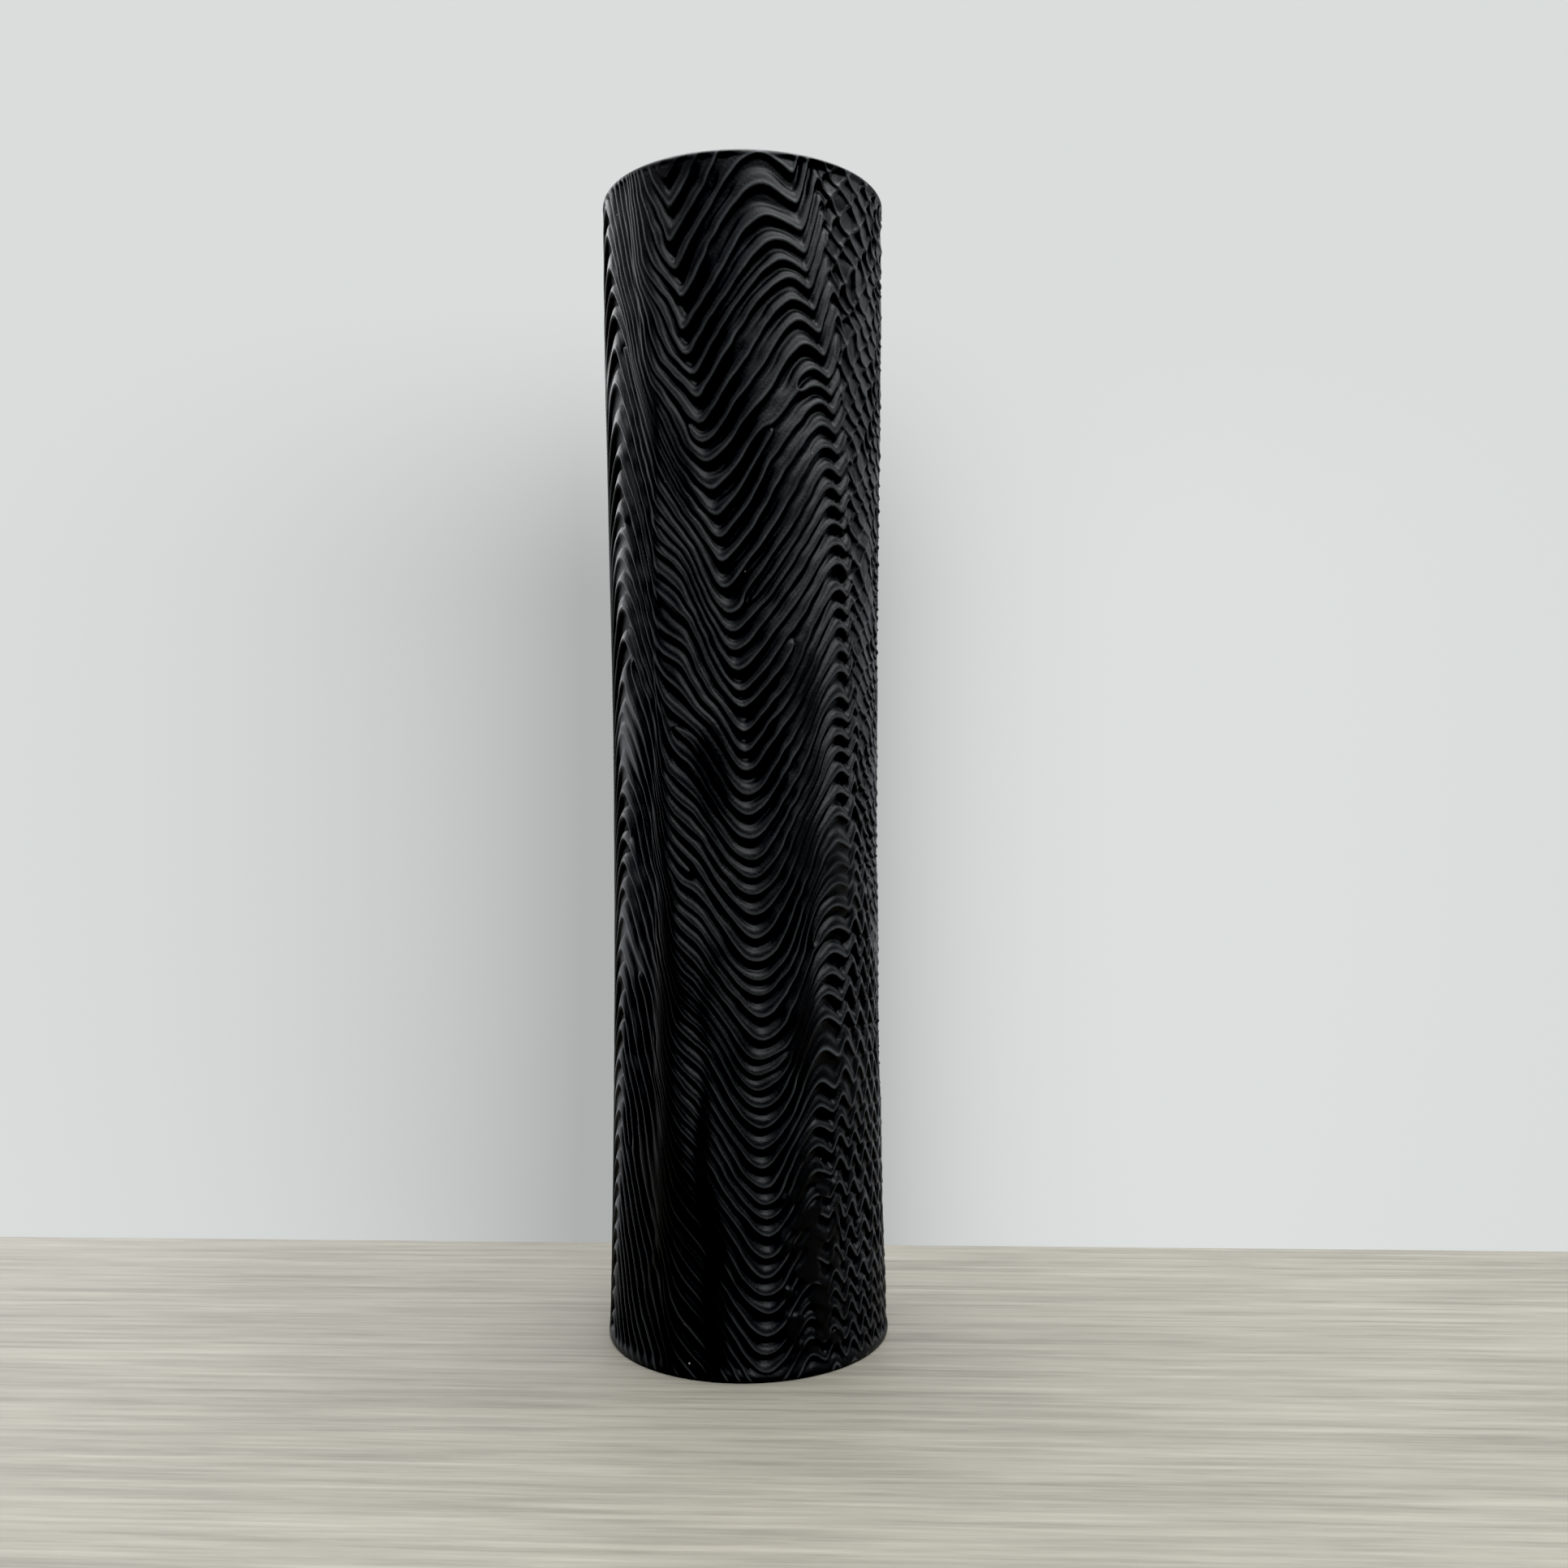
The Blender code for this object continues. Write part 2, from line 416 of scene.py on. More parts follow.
def scoop(share):
    """How hollow a scale is on its way up across one pair of its edges, from 0 to 1."""
    return np.interp(share, [0, 0.05, 0.14, 0.3, 0.5, 0.7, 0.86, 0.95, 1],
                     [0, 0.32, 0.5, 0.62, 0.78, 0.95, 1, 0.6, 0])


def net(local, levels, seed):
    """The cut's depth, the share left standing and the share of a crest, over a net of scales."""
    tall = through([(340, 9.5), (270, 8.4), (200, 6.8), (120, 6.4), (50, 7.4)], levels)[:, None]
    wide = through([(340, 10.5), (250, 9), (150, 7.6), (0, 9)], levels)[:, None]
    row = np.cumsum(ROW_GAP / tall, axis=0) + ROW_WANDER * wander(17, seed, levels, local)
    turn = local[None, :] / wide + ROW_SLANT * row + TURN_WANDER * wander(15, seed + 1, levels, local)
    lean = EDGE_BEND * np.sin(math.tau * (row + turn)) * np.cos(math.tau * (row - turn) / 2)
    one, other = row + turn + lean, row - turn + lean
    hollow = scoop(one % 1) * scoop(other % 1)
    knot = (np.cos(math.pi * one) * np.cos(math.pi * other)) ** 4
    uneven = 0.85 + 0.3 * wander(12, seed + 2, levels, local)
    depth = np.clip(SCALE_DEPTH * tall * uneven, 0, DEEPEST)
    left = (1 - hollow) * (EDGE_HEIGHT + (1 - EDGE_HEIGHT) * knot)
    return depth, left, NET_WEAR_AND_HIGHLIGHT * (1 - hollow) ** 6


print("hollow of a scale on its way up:", scoop(np.linspace(0, 1, 9)).round(2))

# %% [markdown]
# ## One half of the wall
#
# Side by side, from the left, lie the fan, the main family and the net. Each runs softly into
# the next along an edge that leans with the height and wanders a little. Every number that says
# how something changes with height is again a short list of points.

# %% One half of the wall
MARGIN = 50
SOFT_EDGE = 1.2
EDGE_WANDER = 1.8


def half_relief(levels, seed):
    """The depth, the share left standing and the share of a crest, a little past the half's ends."""
    local = HALF_START + np.arange(-MARGIN, HALF + MARGIN) * 360 / COLUMNS
    main = ridge_count(labels_at(valley_and_arches(local), levels),
                       [(340, 8), (300, 7.8), (250, 7.3), (200, 6.8), (110, 5.9), (0, 5.6)], seed)
    fan = ridge_count(labels_at(tall_arches(local), levels),
                      [(340, 8.5), (300, 9), (240, 9), (200, 8), (100, 7.2)], seed + 1)
    fan_edge = through([(0, -33), (60, -37), (120, -39), (165, -40), (200, -38), (236, -35), (255, -36),
                        (275, -38), (308, -45), (340, -50)], levels)
    net_edge = through([(340, 33), (300, 40), (270, 45), (240, 50), (200, 54), (150, 58), (110, 76),
                        (50, 85)], levels)
    field = np.stack(ridges(fan, local, levels, FAN_FORKS, seed + 4))
    main_part = ridges(main, local, levels, MAIN_FORKS, seed + 5)
    net_part = net(local, levels, seed + 2)
    for edge, part in ((fan_edge, main_part), (net_edge, net_part)):
        past = local[None, :] - edge[:, None] - EDGE_WANDER * wander(26, seed + 7, levels, local)
        share = 1 / (1 + np.exp(-past / SOFT_EDGE))
        field = field + (np.stack(part) - field) * share
    return field


# %% [markdown]
# ## Both halves of the wall
#
# The back half repeats the grain a half turn on, set higher and with its own wandering, so it is
# a relative of the front and not a copy. The halves overlap a little and run into each other
# along two wavy joins, because a straight join would show as a line.

# %% Both halves of the wall
BACK_IS_HIGHER = 34
JOIN_WANDER = 2.5


def joined(front, back):
    """Both halves round the whole wall, with a wavy join where one runs into the other."""
    whole = np.zeros((2, 3, len(heights), COLUMNS))
    for half, field in enumerate((front, back)):
        columns = np.arange(half * HALF - MARGIN, (half + 1) * HALF + MARGIN) % COLUMNS
        whole[half][:, :, columns] = field
    past_join = 90 - np.abs((bearings - HALF_START + 90) % 360 - 180)
    wavy = past_join[None, :] + JOIN_WANDER * wander(30, 61, heights, bearings)
    return whole[1] + (whole[0] - whole[1]) / (1 + np.exp(-wavy))


depth, left, crest = joined(half_relief(heights, seed=11), half_relief(heights - BACK_IS_HIGHER, seed=21))
print("cuts between the lines: up to", round(depth.max(), 2), "mm deep, mean", round(depth.mean(), 2), "mm")

# %% [markdown]
# ## Worn, rubbed and broken places
#
# Where the maker's thumb has rubbed the clay, the grain fades: each smooth patch is a bearing, a
# height, a half width in degrees, a half height in mm and a strength. Low on the wall some
# ridges are broken into dashes: each such place is two bearings, two heights, a strength and a
# seed.

# %% Worn, rubbed and broken places
SMOOTH_PATCHES = [(-25, 338, 22, 8, 0.8), (-40, 315, 6, 20, 0.7), (-37, 262, 6, 34, 0.75),
                  (-38, 205, 4, 30, 0.5), (-35, 60, 4, 75, 0.9), (-15, 55, 4.5, 60, 0.85),
                  (-26, 55, 7, 60, 0.6), (-14, 12, 9, 14, 0.7), (27, 140, 6, 90, 0.4), (24, 55, 5, 60, 0.5)]
BROKEN = [(14, 42, 4, 60, 0.75, 52), (46, 86, -20, 95, 0.3, 53), (226, 266, 20, 130, 0.4, 54)]
PATCH_WANDER = 3
MEAN_CUT = 0.8
CUT_WANDER = 0.35
CUT_RANGE = (0.3, 1.2)
SIDE_FADE = 3
BOTTOM_FADE = 8
TOP_FADE = 15
DASHES = (-0.3, 0.5)


def kept_by_thumb():
    """The share of the cut that is left, uneven all over and low in each smooth patch."""
    share = np.clip(MEAN_CUT + CUT_WANDER * wander(24, 31, heights, bearings, stretch=1.6), *CUT_RANGE)
    wobble = PATCH_WANDER * wander(34, 33, heights, bearings)
    for at, up, wide, tall, strength in SMOOTH_PATCHES:
        across = (bearings[None, :] + wobble - at) / wide
        share = share * (1 - strength * np.exp(-across ** 2 - ((heights - up)[:, None] / tall) ** 2))
    return share


def broken(low, high, bottom, top, strength, seed):
    """The share of the cut that is left in dashes between two bearings and two heights."""
    across = swept(low - SIDE_FADE, low + SIDE_FADE, bearings)
    across = across * (1 - swept(high - SIDE_FADE, high + SIDE_FADE, bearings))
    upward = swept(bottom - BOTTOM_FADE, bottom + BOTTOM_FADE, heights)
    upward = upward * (1 - swept(top - TOP_FADE, top + TOP_FADE, heights))
    inside = across[None, :] * upward[:, None]
    return 1 - strength * inside * (1 - swept(*DASHES, wander(8, seed, heights, bearings, stretch=0.8)))


uneven = kept_by_thumb()
for place in BROKEN:
    uneven = uneven * broken(*place)
print("share of the cut that is left: from", round(uneven.min(), 2), "to", round(uneven.max(), 2))

# %% [markdown]
# ## The carving
#
# The cut is the depth, times what isn't left standing, times what the thumb left of it. It is
# smoothed once, as slip does when it fills the sharpest corners. Then every point slides a
# little along and up, by soft bumps, so that no line is as smooth as a drawn one. The cut ends
# just short of the rim and the foot, whose edges stay plain.

# %% The carving
RIM_PLAIN = (0.8, 2.6)
FOOT_PLAIN = (1.2, 5)
BENDS_UP = [(0.7, 22, 41), (0.12, 6, 42)]
BENDS_ALONG = [(0.6, 20, 43), (0.12, 6, 44)]


def bend(parts):
    """How far each point slides, in mm, from a few (strength, size, seed) bumps."""
    return sum(strength * wander(size, seed, heights, bearings) for strength, size, seed in parts)


def warped(field, up, along):
    """The field with each point moved by (up, along) mm, wrapping round the wall."""
    row = np.clip(np.arange(len(heights))[:, None] + up / ROW_GAP, 0, len(heights) - 1.001)
    column = (np.arange(COLUMNS)[None, :] + along / COLUMN_GAP) % COLUMNS
    low, left = row.astype(int), column.astype(int)
    above, over = row - low, column - left
    right = (left + 1) % COLUMNS
    left = left % COLUMNS
    near = field[low, left] * (1 - over) + field[low, right] * over
    far = field[low + 1, left] * (1 - over) + field[low + 1, right] * over
    return near * (1 - above) + far * above


carved_in = depth * (1 - left) * uneven
for axis in (0, 1):
    carved_in = (np.roll(carved_in, 1, axis) + 2 * carved_in + np.roll(carved_in, -1, axis)) / 4
up, along = bend(BENDS_UP), bend(BENDS_ALONG)
ends = swept(*RIM_PLAIN, HEIGHT - heights) * swept(*FOOT_PLAIN, heights)
carved_in = warped(carved_in, up, along) * ends[:, None]
# The crests carry the wear and the painted highlight of the slip, so they move with the cut.
crests = warped(crest * swept(0.2, 1, depth * uneven), up, along)
print("deepest cut:", round(carved_in.max(), 2), "mm; mean cut:", round(carved_in.mean(), 2), "mm")

# %% [markdown]
# ## The outline in small steps
#
# The corners of the solid outline are a few straight cuts, so it is stepped finely and eased, as
# a wet sponge would. Near the rim and the foot every step is kept, for their small rounds. The
# rest of the outside keeps every other step, and the rest of the inside, which is plain, few.

# %% The outline in small steps
OUTLINE_STEP = 0.16
ROUNDING = 0.8
OUTSIDE_EVERY = 2
INSIDE_EVERY = 25
FOOT_BAND = 3
RIM_BAND = 4


def eased_outline(corners):
    """The outline in small even steps, with its corners rubbed round."""
    closed = np.vstack([corners, corners[:1]])
    length = np.concatenate([[0], np.cumsum(np.hypot(*np.diff(closed, axis=0).T))])
    at = np.linspace(0, length[-1], round(length[-1] / OUTLINE_STEP), endpoint=False)
    reach = round(ROUNDING / OUTLINE_STEP)
    kernel = np.hanning(2 * reach + 3)[1:-1]
    return np.column_stack([np.convolve(np.pad(np.interp(at, length, closed[:, axis]), reach, mode="wrap"),
                                        kernel / kernel.sum(), mode="valid") for axis in (0, 1)])


full_outline = eased_outline(outline)
steps = np.arange(len(full_outline))
is_outside = steps <= np.argmin(full_outline[:, 1])
near_end = (full_outline[:, 1] < FOOT_BAND) | (full_outline[:, 1] > HEIGHT - RIM_BAND)
kept = near_end | (steps % np.where(is_outside, OUTSIDE_EVERY, INSIDE_EVERY) == 0)
wall_outline, outside = full_outline[kept], is_outside[kept]
level = wall_outline[:, 1]
print("outline:", len(full_outline), "steps, of which", len(level), "are kept,", outside.sum(), "outside")

# %% [markdown]
# ## The carved wall
#
# The wall is one closed skin: the eased outline is turned through every bearing, and each point
# of the outside moves in by the depth of its cut. A displacement modifier could do this too, but
# a mesh that is made point by point keeps the crests crisp and leaves the inside alone. It
# stands for the smooth solid wall, which stays behind it for contact.

# %% The carved wall
EVERY_COLUMN = 2


def at_levels(grid):
    """A grid over the heights, read at the outline's own levels; 0 along the inside."""
    row = np.clip(level / ROW_GAP, 0, len(heights) - 1.001)
    low = row.astype(int)
    share = (row - low)[:, None]
    grid = grid[:, ::EVERY_COLUMN]
    return (grid[low] * (1 - share) + grid[low + 1] * share) * outside[:, None]


def skin(name, radius):
    """A closed mesh from a grid of radii in mm, and the rows and columns of its faces' corners."""
    turn = np.radians(bearings[::EVERY_COLUMN])[None, :]
    rows, columns = radius.shape
    spots = np.stack([radius * np.sin(turn), -radius * np.cos(turn), level[:, None] + 0 * turn], axis=-1)
    down, over = np.meshgrid(np.arange(rows), np.arange(columns), indexing="ij")
    corners = [(down, over), (down + 1, over), (down + 1, over + 1), (down, over + 1)]
    faces = np.stack([r % rows * columns + c % columns for r, c in corners], axis=-1).reshape(-1, 4)
    mesh = bpy.data.meshes.new(name)
    mesh.vertices.add(rows * columns)
    mesh.vertices.foreach_set("co", (spots * MM).reshape(-1))
    mesh.loops.add(faces.size)
    mesh.loops.foreach_set("vertex_index", faces.reshape(-1))
    mesh.polygons.add(len(faces))
    mesh.polygons.foreach_set("loop_start", np.arange(0, faces.size, 4))
    mesh.polygons.foreach_set("use_smooth", np.ones(len(faces), bool))
    mesh.update()
    piece = bpy.data.objects.new(name, mesh)
    bpy.context.scene.collection.objects.link(piece)
    return piece, corners


wall, wall_corners = skin("carved_wall", wall_outline[:, :1] - at_levels(carved_in))
print("carved wall:", len(wall.data.vertices), "points,", len(wall.data.polygons), "faces")
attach(wall, "root")
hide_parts("vase_wall")

# %% [markdown]
# ## What the wall carries for its finish
#
# One number goes with each point of the skin: how much of a crest it is, from 0 in a hollow or
# on plain clay to 1 on a sharp crest, so that the wear and the painted highlight of the crests
# can sit exactly there. The skin also gets a flat layout, so that it can be unrolled: the outside
# takes three quarters of the sheet, and the inside the rest.

# %% What the wall carries for its finish
OUTSIDE_SHARE = 0.76
SHEET_GAP = 0.01
INSIDE_SHARE = 1 - OUTSIDE_SHARE - 2 * SHEET_GAP


def unroll(piece, corners, split_row):
    """The flat layout of a turned skin, with the rows above and below the split side by side."""
    layout = piece.data.uv_layers.new(name="OFBake")
    rows, columns = corners[0][0].shape
    is_outside_face = (corners[0][0] < split_row)[..., None]
    flat = []
    for down, over in corners:
        first = np.stack([over / columns * OUTSIDE_SHARE, 1 - down / split_row], axis=-1)
        second = np.stack([OUTSIDE_SHARE + SHEET_GAP + over / columns * INSIDE_SHARE,
                           (down - split_row) / (rows - split_row)], axis=-1)
        flat.append(np.where(is_outside_face, first, second))
    layout.data.foreach_set("uv", np.stack(flat, axis=2).reshape(-1))


carried = wall.data.attributes.new("crest", "FLOAT", "POINT")
carried.data.foreach_set("value", at_levels(crests).reshape(-1))
unroll(wall, wall_corners, int(outside.sum()))
print("crest, mean over the outside:", round(at_levels(crests)[outside].mean(), 3))

# %% [markdown]
# ## Writing a finish as sums
#
# A finish is a small network of nodes. Sums are easier to read than wires, so one class wraps a
# socket and turns each operator into the Math node that works it out. Every other kind of node
# comes from one method, by its type, its settings and what goes into its sockets.

# %% Writing a finish as sums
class Wire:
    """The socket that a value comes out of, which can be used in sums."""

    def __init__(self, network, socket):
        self.network = network
        self.socket = socket

    def __add__(self, other):
        return self.network.sum_of("ADD", self, other)

    def __sub__(self, other):
        return self.network.sum_of("SUBTRACT", self, other)

    def __rsub__(self, other):
        return self.network.sum_of("SUBTRACT", other, self)

    def __mul__(self, other):
        return self.network.sum_of("MULTIPLY", self, other)

    def __rpow__(self, other):
        return self.network.sum_of("POWER", other, self)

    __radd__ = __add__
    __rmul__ = __mul__

    def beside(self, output):
        """Another output of the same node."""
        return Wire(self.network, self.socket.node.outputs[output])


class Network:
    """The nodes of a material or of the world."""

    def __init__(self, owner):
        owner.use_nodes = True
        self.tree = owner.node_tree

    def node(self, kind, settings, sockets, output=0):
        """Add any node, and give back one of its outputs."""
        node = self.tree.nodes.new(kind)
        for name, value in settings.items():
            setattr(node, name, value)
        for name, value in sockets.items():
            self.plug(node.inputs[name], value)
        return Wire(self, node.outputs[output])

    def plug(self, socket, value):
        """Feed a socket with a wire or a plain value."""
        if isinstance(value, Wire):
            self.tree.links.new(value.socket, socket)
        elif socket.type == "RGBA":
            socket.default_value = (*value, 1.0)
        else:
            socket.default_value = value

    def sum_of(self, operation, first, second):
        """Work out two values with a Math node."""
        return self.node("ShaderNodeMath", {"operation": operation}, {0: first, 1: second})

    def eased(self, value, low, high, top=1.0):
        """An eased step from 0 at low to the top at high."""
        return self.node("ShaderNodeMapRange", {"interpolation_type": "SMOOTHSTEP"},
                         {"Value": value, "From Min": low, "From Max": high, "To Max": top})


# %% [markdown]
# ## A fired finish
#
# Every finish here is one Principled shader. What is the same all over is set on the shader
# itself, and what varies is made from clouds of noise at a named size, a mix of two colours, and
# a fine bump.

# %% A fired finish
class Finish(Network):
    """A material with one Principled shader, and the nodes that vary it over the surface."""

    def __init__(self, name, **constants):
        self.material = bpy.data.materials.new(name)
        super().__init__(self.material)
        self.shader = self.tree.nodes["Principled BSDF"]
        for socket, value in constants.items():
            self.shader.inputs[socket.replace("_", " ")].default_value = value

    def give(self, **wires):
        """Feed the shader's own sockets."""
        for name, wire in wires.items():
            self.plug(self.shader.inputs[name.replace("_", " ")], wire)

    def carried(self, name):
        """A number that the mesh carries at its points."""
        return self.node("ShaderNodeAttribute", {"attribute_name": name}, {}, "Fac")

    def place(self, scale=(1, 1, 1)):
        """Where on the piece this point is, in metres, stretched by the scale."""
        spot = self.node("ShaderNodeTexCoord", {}, {}, "Object")
        return self.node("ShaderNodeMapping", {}, {"Vector": spot, "Scale": scale})

    def noise(self, size_mm, place, detail=3, roughness=0.55):
        """Soft clouds of about that size, from 0 to 1."""
        return self.node("ShaderNodeTexNoise", {}, {"Vector": place, "Scale": 1 / (size_mm * MM),
                                                    "Detail": detail, "Roughness": roughness})

    def mix(self, share, low, high):
        """A colour between two others."""
        return self.node("ShaderNodeMix", {"data_type": "RGBA"}, {"Factor": share, 6: low, 7: high}, 2)

    def clamp(self, wire):
        """A number kept between 0 and 1."""
        return self.node("ShaderNodeClamp", {}, {"Value": wire})

    def bump(self, height, distance):
        """A fine relief, whose height of 1 stands for the distance in mm."""
        return self.node("ShaderNodeBump", {}, {"Height": height, "Distance": distance * MM})

    def dress(self, *pieces):
        """Put the finish on pieces, in place of the one that they have."""
        for piece in pieces:
            if not piece.material_slots:
                piece.data.materials.append(self.material)
            piece.material_slots[0].material = self.material
        names = [piece.name for piece in pieces]
        print(self.material.name, "of", len(self.tree.nodes), "nodes is on", *names)


# %% [markdown]
# ## Black slip on the carved clay
#
# The carved wall is coated with a black slip that fires to a satin skin. It is painted a dull grey
# on the crests, partly as wear and partly as a painted highlight in place of the light that the
# crests catch, and the sponge that wiped it left it mottled. The grey could come from how much the
# surface curves, but the number that the skin carries puts it exactly on the crests, also after
# the mesh is made coarser. A few specks of pale dust lie on the black.

# %% Black slip on the carved clay
COLD_BLACK = (0.0024, 0.0028, 0.003)
WARM_BLACK = (0.006, 0.0056, 0.0066)
# Painted highlight: this grey on the crests is partly wear and partly stands in for the light that the
# crests catch.
WEAR_AND_HIGHLIGHT_GREY = (0.075, 0.081, 0.088)
PALE_DUST = (0.30, 0.29, 0.27)
DUST_PER_METRE = 70.0
DUST_RADIUS = (0.012, 0.02)

slip = Finish("satin_black_slip", Specular_IOR_Level=0.14)
spot = slip.place()
mottle = slip.noise(9, spot)
speck = slip.noise(0.8, spot, detail=4)
grain = slip.noise(0.35, spot, detail=2)
tint = slip.mix(slip.noise(16, spot), COLD_BLACK, WARM_BLACK)
# Painted highlight: the crest number greys the crests, partly as wear and partly in place of the light that
# they catch.
wear_and_highlight = slip.clamp(slip.carried("crest") * (0.3 + 1.4 * mottle) - 0.1)
lint = slip.node("ShaderNodeTexVoronoi", {}, {"Vector": spot, "Scale": DUST_PER_METRE}, "Distance")
dust = slip.node("ShaderNodeMapRange", {}, {"Value": lint, "From Min": DUST_RADIUS[0],
                                            "From Max": DUST_RADIUS[1], "To Min": 1.0, "To Max": 0.0})
slip.give(Base_Color=slip.mix(dust, slip.mix(wear_and_highlight, tint, WEAR_AND_HIGHLIGHT_GREY), PALE_DUST))
slip.give(Roughness=0.3 + 0.14 * mottle + 0.12 * speck)
slip.give(Normal=slip.bump(speck * 0.7 + grain * 0.3, 0.12))
slip.dress(wall)

# %% [markdown]
# ## Bare clay underneath
#
# The floor slab and the coil inside the corner carry no slip. The clay is a dark, iron
# stoneware, dry and gritty, with the fine scratches of the wire that cut it off the bat. The
# scratches are noise that is stretched along X.

# %% Bare clay underneath
DARK_CLAY = (0.028, 0.022, 0.018)
PALE_CLAY = (0.075, 0.062, 0.052)

bare = Finish("dark_bare_stoneware", Specular_IOR_Level=0.3)
spot = bare.place()
grit = bare.noise(0.6, spot, detail=4)
scratch = bare.noise(1.1, bare.place((0.08, 1, 1)))
bare.give(Base_Color=bare.mix(0.6 * bare.noise(12, spot) + 0.4 * grit, DARK_CLAY, PALE_CLAY))
bare.give(Roughness=0.72 + 0.2 * grit)
bare.give(Normal=bare.bump(0.5 * grit + 0.5 * scratch, 0.15))
bare.dress(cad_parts["floor_disc"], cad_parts["corner_coil"])

# %% [markdown]
# ## Glossy glaze inside
#
# The inside was glazed by pouring, so the glaze is glassy and black, breaks to brown where it
# runs thin over the throwing rings, and pools in soft patches. The rings are noise that is
# stretched sideways.

# %% Glossy glaze inside
THICK_GLAZE = (0.005, 0.005, 0.006)
THIN_GLAZE = (0.03, 0.021, 0.015)

gloss = Finish("glossy_black_glaze", Specular_IOR_Level=0.45)
rings = gloss.noise(7, gloss.place((0.12, 0.12, 1)), detail=2)
pool = gloss.noise(22, gloss.place())
gloss.give(Base_Color=gloss.mix(gloss.clamp(rings * 1.6 - 0.5) * pool, THICK_GLAZE, THIN_GLAZE))
gloss.give(Roughness=0.08 + 0.14 * pool)
gloss.give(Normal=gloss.bump(rings, 0.5))
gloss.dress(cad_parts["glaze_lining"])

# %% [markdown]
# ## The pale floor
#
# The vase stands on a plain pale slab with fine streaks along it. Its back edge lies 78 mm
# behind the vase's axis, turned a little, and is the horizon of the picture. A floor that ran on
# for ever would put the horizon too high.

# %% The pale floor
FLOOR_SIDE = 1.5
FLOOR_BACK = 0.078
FLOOR_TURN = math.radians(-2.7)
FLOOR_THICK = 0.03
STREAK_DARK = (0.090, 0.083, 0.069)
STREAK_PALE = (0.207, 0.194, 0.162)

bpy.ops.mesh.primitive_cube_add(size=1)
floor = bpy.context.object
floor.name = "pale_floor"
floor.scale = (2 * FLOOR_SIDE, FLOOR_SIDE, FLOOR_THICK)
floor.location = (math.sin(FLOOR_TURN) * FLOOR_SIDE / 2, FLOOR_BACK - FLOOR_SIDE / 2, -FLOOR_THICK / 2)
floor.rotation_euler.z = FLOOR_TURN
board = Finish("pale_floor", Roughness=0.6, Specular_IOR_Level=0.25)
streak = board.noise(1.6, board.place((0.07, 1.0, 1.0)), detail=5, roughness=0.7)
tone = board.clamp(2.4 * (0.75 * streak + 0.25 * board.noise(60, board.place())) - 0.7)
board.give(Base_Color=board.mix(tone, STREAK_DARK, STREAK_PALE))
board.dress(floor)

# %% [markdown]
# ## The light of the room
#
# Black satin clay shows little of its own colour, so most of what is seen is what it reflects: a
# bright ceiling above the slopes, a bright wall far behind that edges both sides, and a window
# at the back left. To the eye the room is only a pale backdrop, with the soft shadow that the
# vase leaves on it. Lit panels could do the same, but they would show in other views.

# %% The light of the room
PALE_WALL = (0.70, 0.725, 0.715)
ROOM_TINT = (0.95, 0.98, 1.03)
ROOM_GLOW = 0.03
SHADOW_DEPTH = 0.92
SHADOW_LEAN = 5
SHADOW_FADE = 10
SHADOW_DARKEST = 0.4


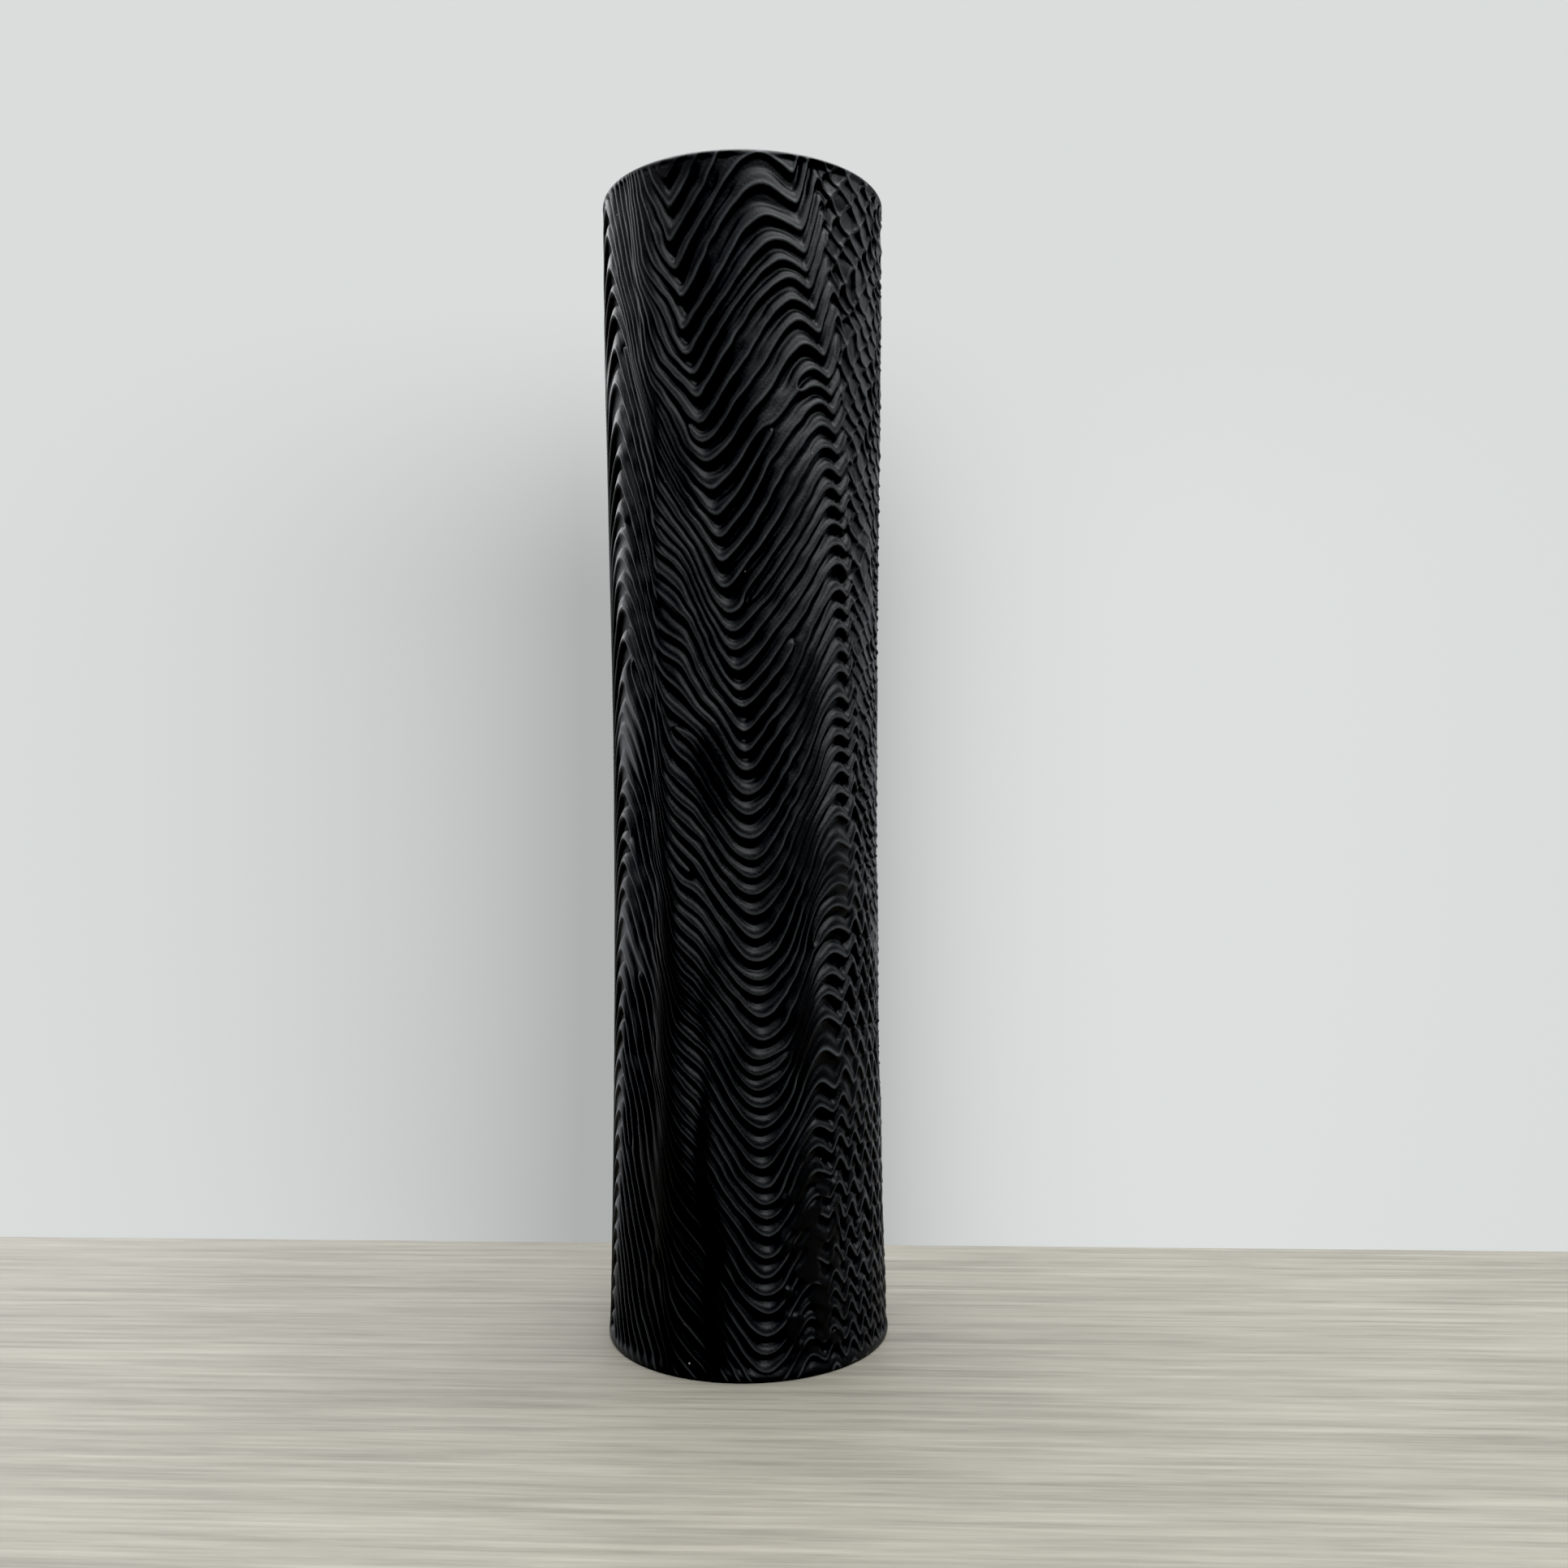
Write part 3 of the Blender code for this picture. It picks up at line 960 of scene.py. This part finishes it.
def studio_air():
    """A pale backdrop for the eye; for the clay, a dim room with a bright ceiling and far wall."""
    world = bpy.data.worlds.new("studio")
    bpy.context.scene.world = world
    air = Network(world)
    way = air.node("ShaderNodeTexCoord", {}, {}, "Generated")
    side = air.node("ShaderNodeSeparateXYZ", {}, {0: way}, "X")
    far, up = side.beside("Y"), side.beside("Z")
    ceiling = air.eased(up, 0.45, 1.0, 2.5)
    wall_behind = air.eased(far, 0.0, 0.45, 1.15)
    window = air.eased(0 - side, 0.6, 0.9, 1.4) * air.eased(far, -0.05, 0.25)
    glow = air.sum_of("MAXIMUM", ceiling, wall_behind + window) + ROOM_GLOW
    room = air.node("ShaderNodeBackground", {}, {"Color": ROOM_TINT, "Strength": glow})
    faded = math.e ** (-SHADOW_FADE * air.sum_of("ABSOLUTE", side, 0.0))
    shadow = air.sum_of("MINIMUM", (SHADOW_DEPTH - SHADOW_LEAN * side) * faded, SHADOW_DARKEST)
    behind_vase = (1 - air.eased(up, 0.12, 0.34)) * air.eased(far, 0.8, 0.95)
    seen = air.node("ShaderNodeBackground", {}, {"Color": PALE_WALL, "Strength": 1 - shadow * behind_vase})
    eye = air.node("ShaderNodeLightPath", {}, {}, "Is Camera Ray")
    both = air.node("ShaderNodeMixShader", {}, {0: eye, 1: room, 2: seen})
    air.plug(air.tree.nodes["World Output"].inputs["Surface"], both)
    print("the room is", len(air.tree.nodes), "nodes")


studio_air()

# %% [markdown]
# ## The lamps
#
# Four soft lamps light the vase: a key from above and in front, a wide one overhead that makes
# the slopes shine and the hollows go black, and two weak ones behind on the right and the left.
# Large lamps near the object give soft shadows, as a big window does.

# %% The lamps
VASE_MIDDLE = Vector((0, 0, HEIGHT / 2 * MM))


def lamp(name, spot, size, watts, tint=(1, 1, 1)):
    """A soft rectangular light that faces the middle of the vase."""
    light = bpy.data.lights.new(name, "AREA")
    light.shape = "RECTANGLE"
    light.size, light.size_y = size
    light.energy = watts
    light.color = tint
    fitting = bpy.data.objects.new(name, light)
    fitting.location = spot
    fitting.rotation_euler = (VASE_MIDDLE - Vector(spot)).to_track_quat("-Z", "Y").to_euler()
    bpy.context.scene.collection.objects.link(fitting)
    print(name, "of", watts, "W,", round((VASE_MIDDLE - Vector(spot)).length, 2), "m away")


lamp("key_light", (0.36, -0.5, 1.0), (0.9, 0.6), 14, tint=(0.95, 1, 0.99))
lamp("ceiling_light", (0, 0.1, 1.3), (1.4, 0.6), 22)
lamp("side_light", (1.1, 0.5, 0.75), (0.7, 0.7), 1.5)
lamp("back_light", (-0.9, 0.9, 0.8), (0.7, 0.7), 7)

# %% [markdown]
# ## The look of the picture
#
# The Standard view keeps the tones as they are lit. The very darkest are cut to black, as a
# contrasty camera does, so that the hollows of the relief go quite black.

# %% The look of the picture
BLACK_LEVEL = 0.0085

view = bpy.context.scene.view_settings
view.view_transform = "Standard"
view.use_curve_mapping = True
view.curve_mapping.black_level = (BLACK_LEVEL, BLACK_LEVEL, BLACK_LEVEL)
view.curve_mapping.update()
print("blacks start at", BLACK_LEVEL)
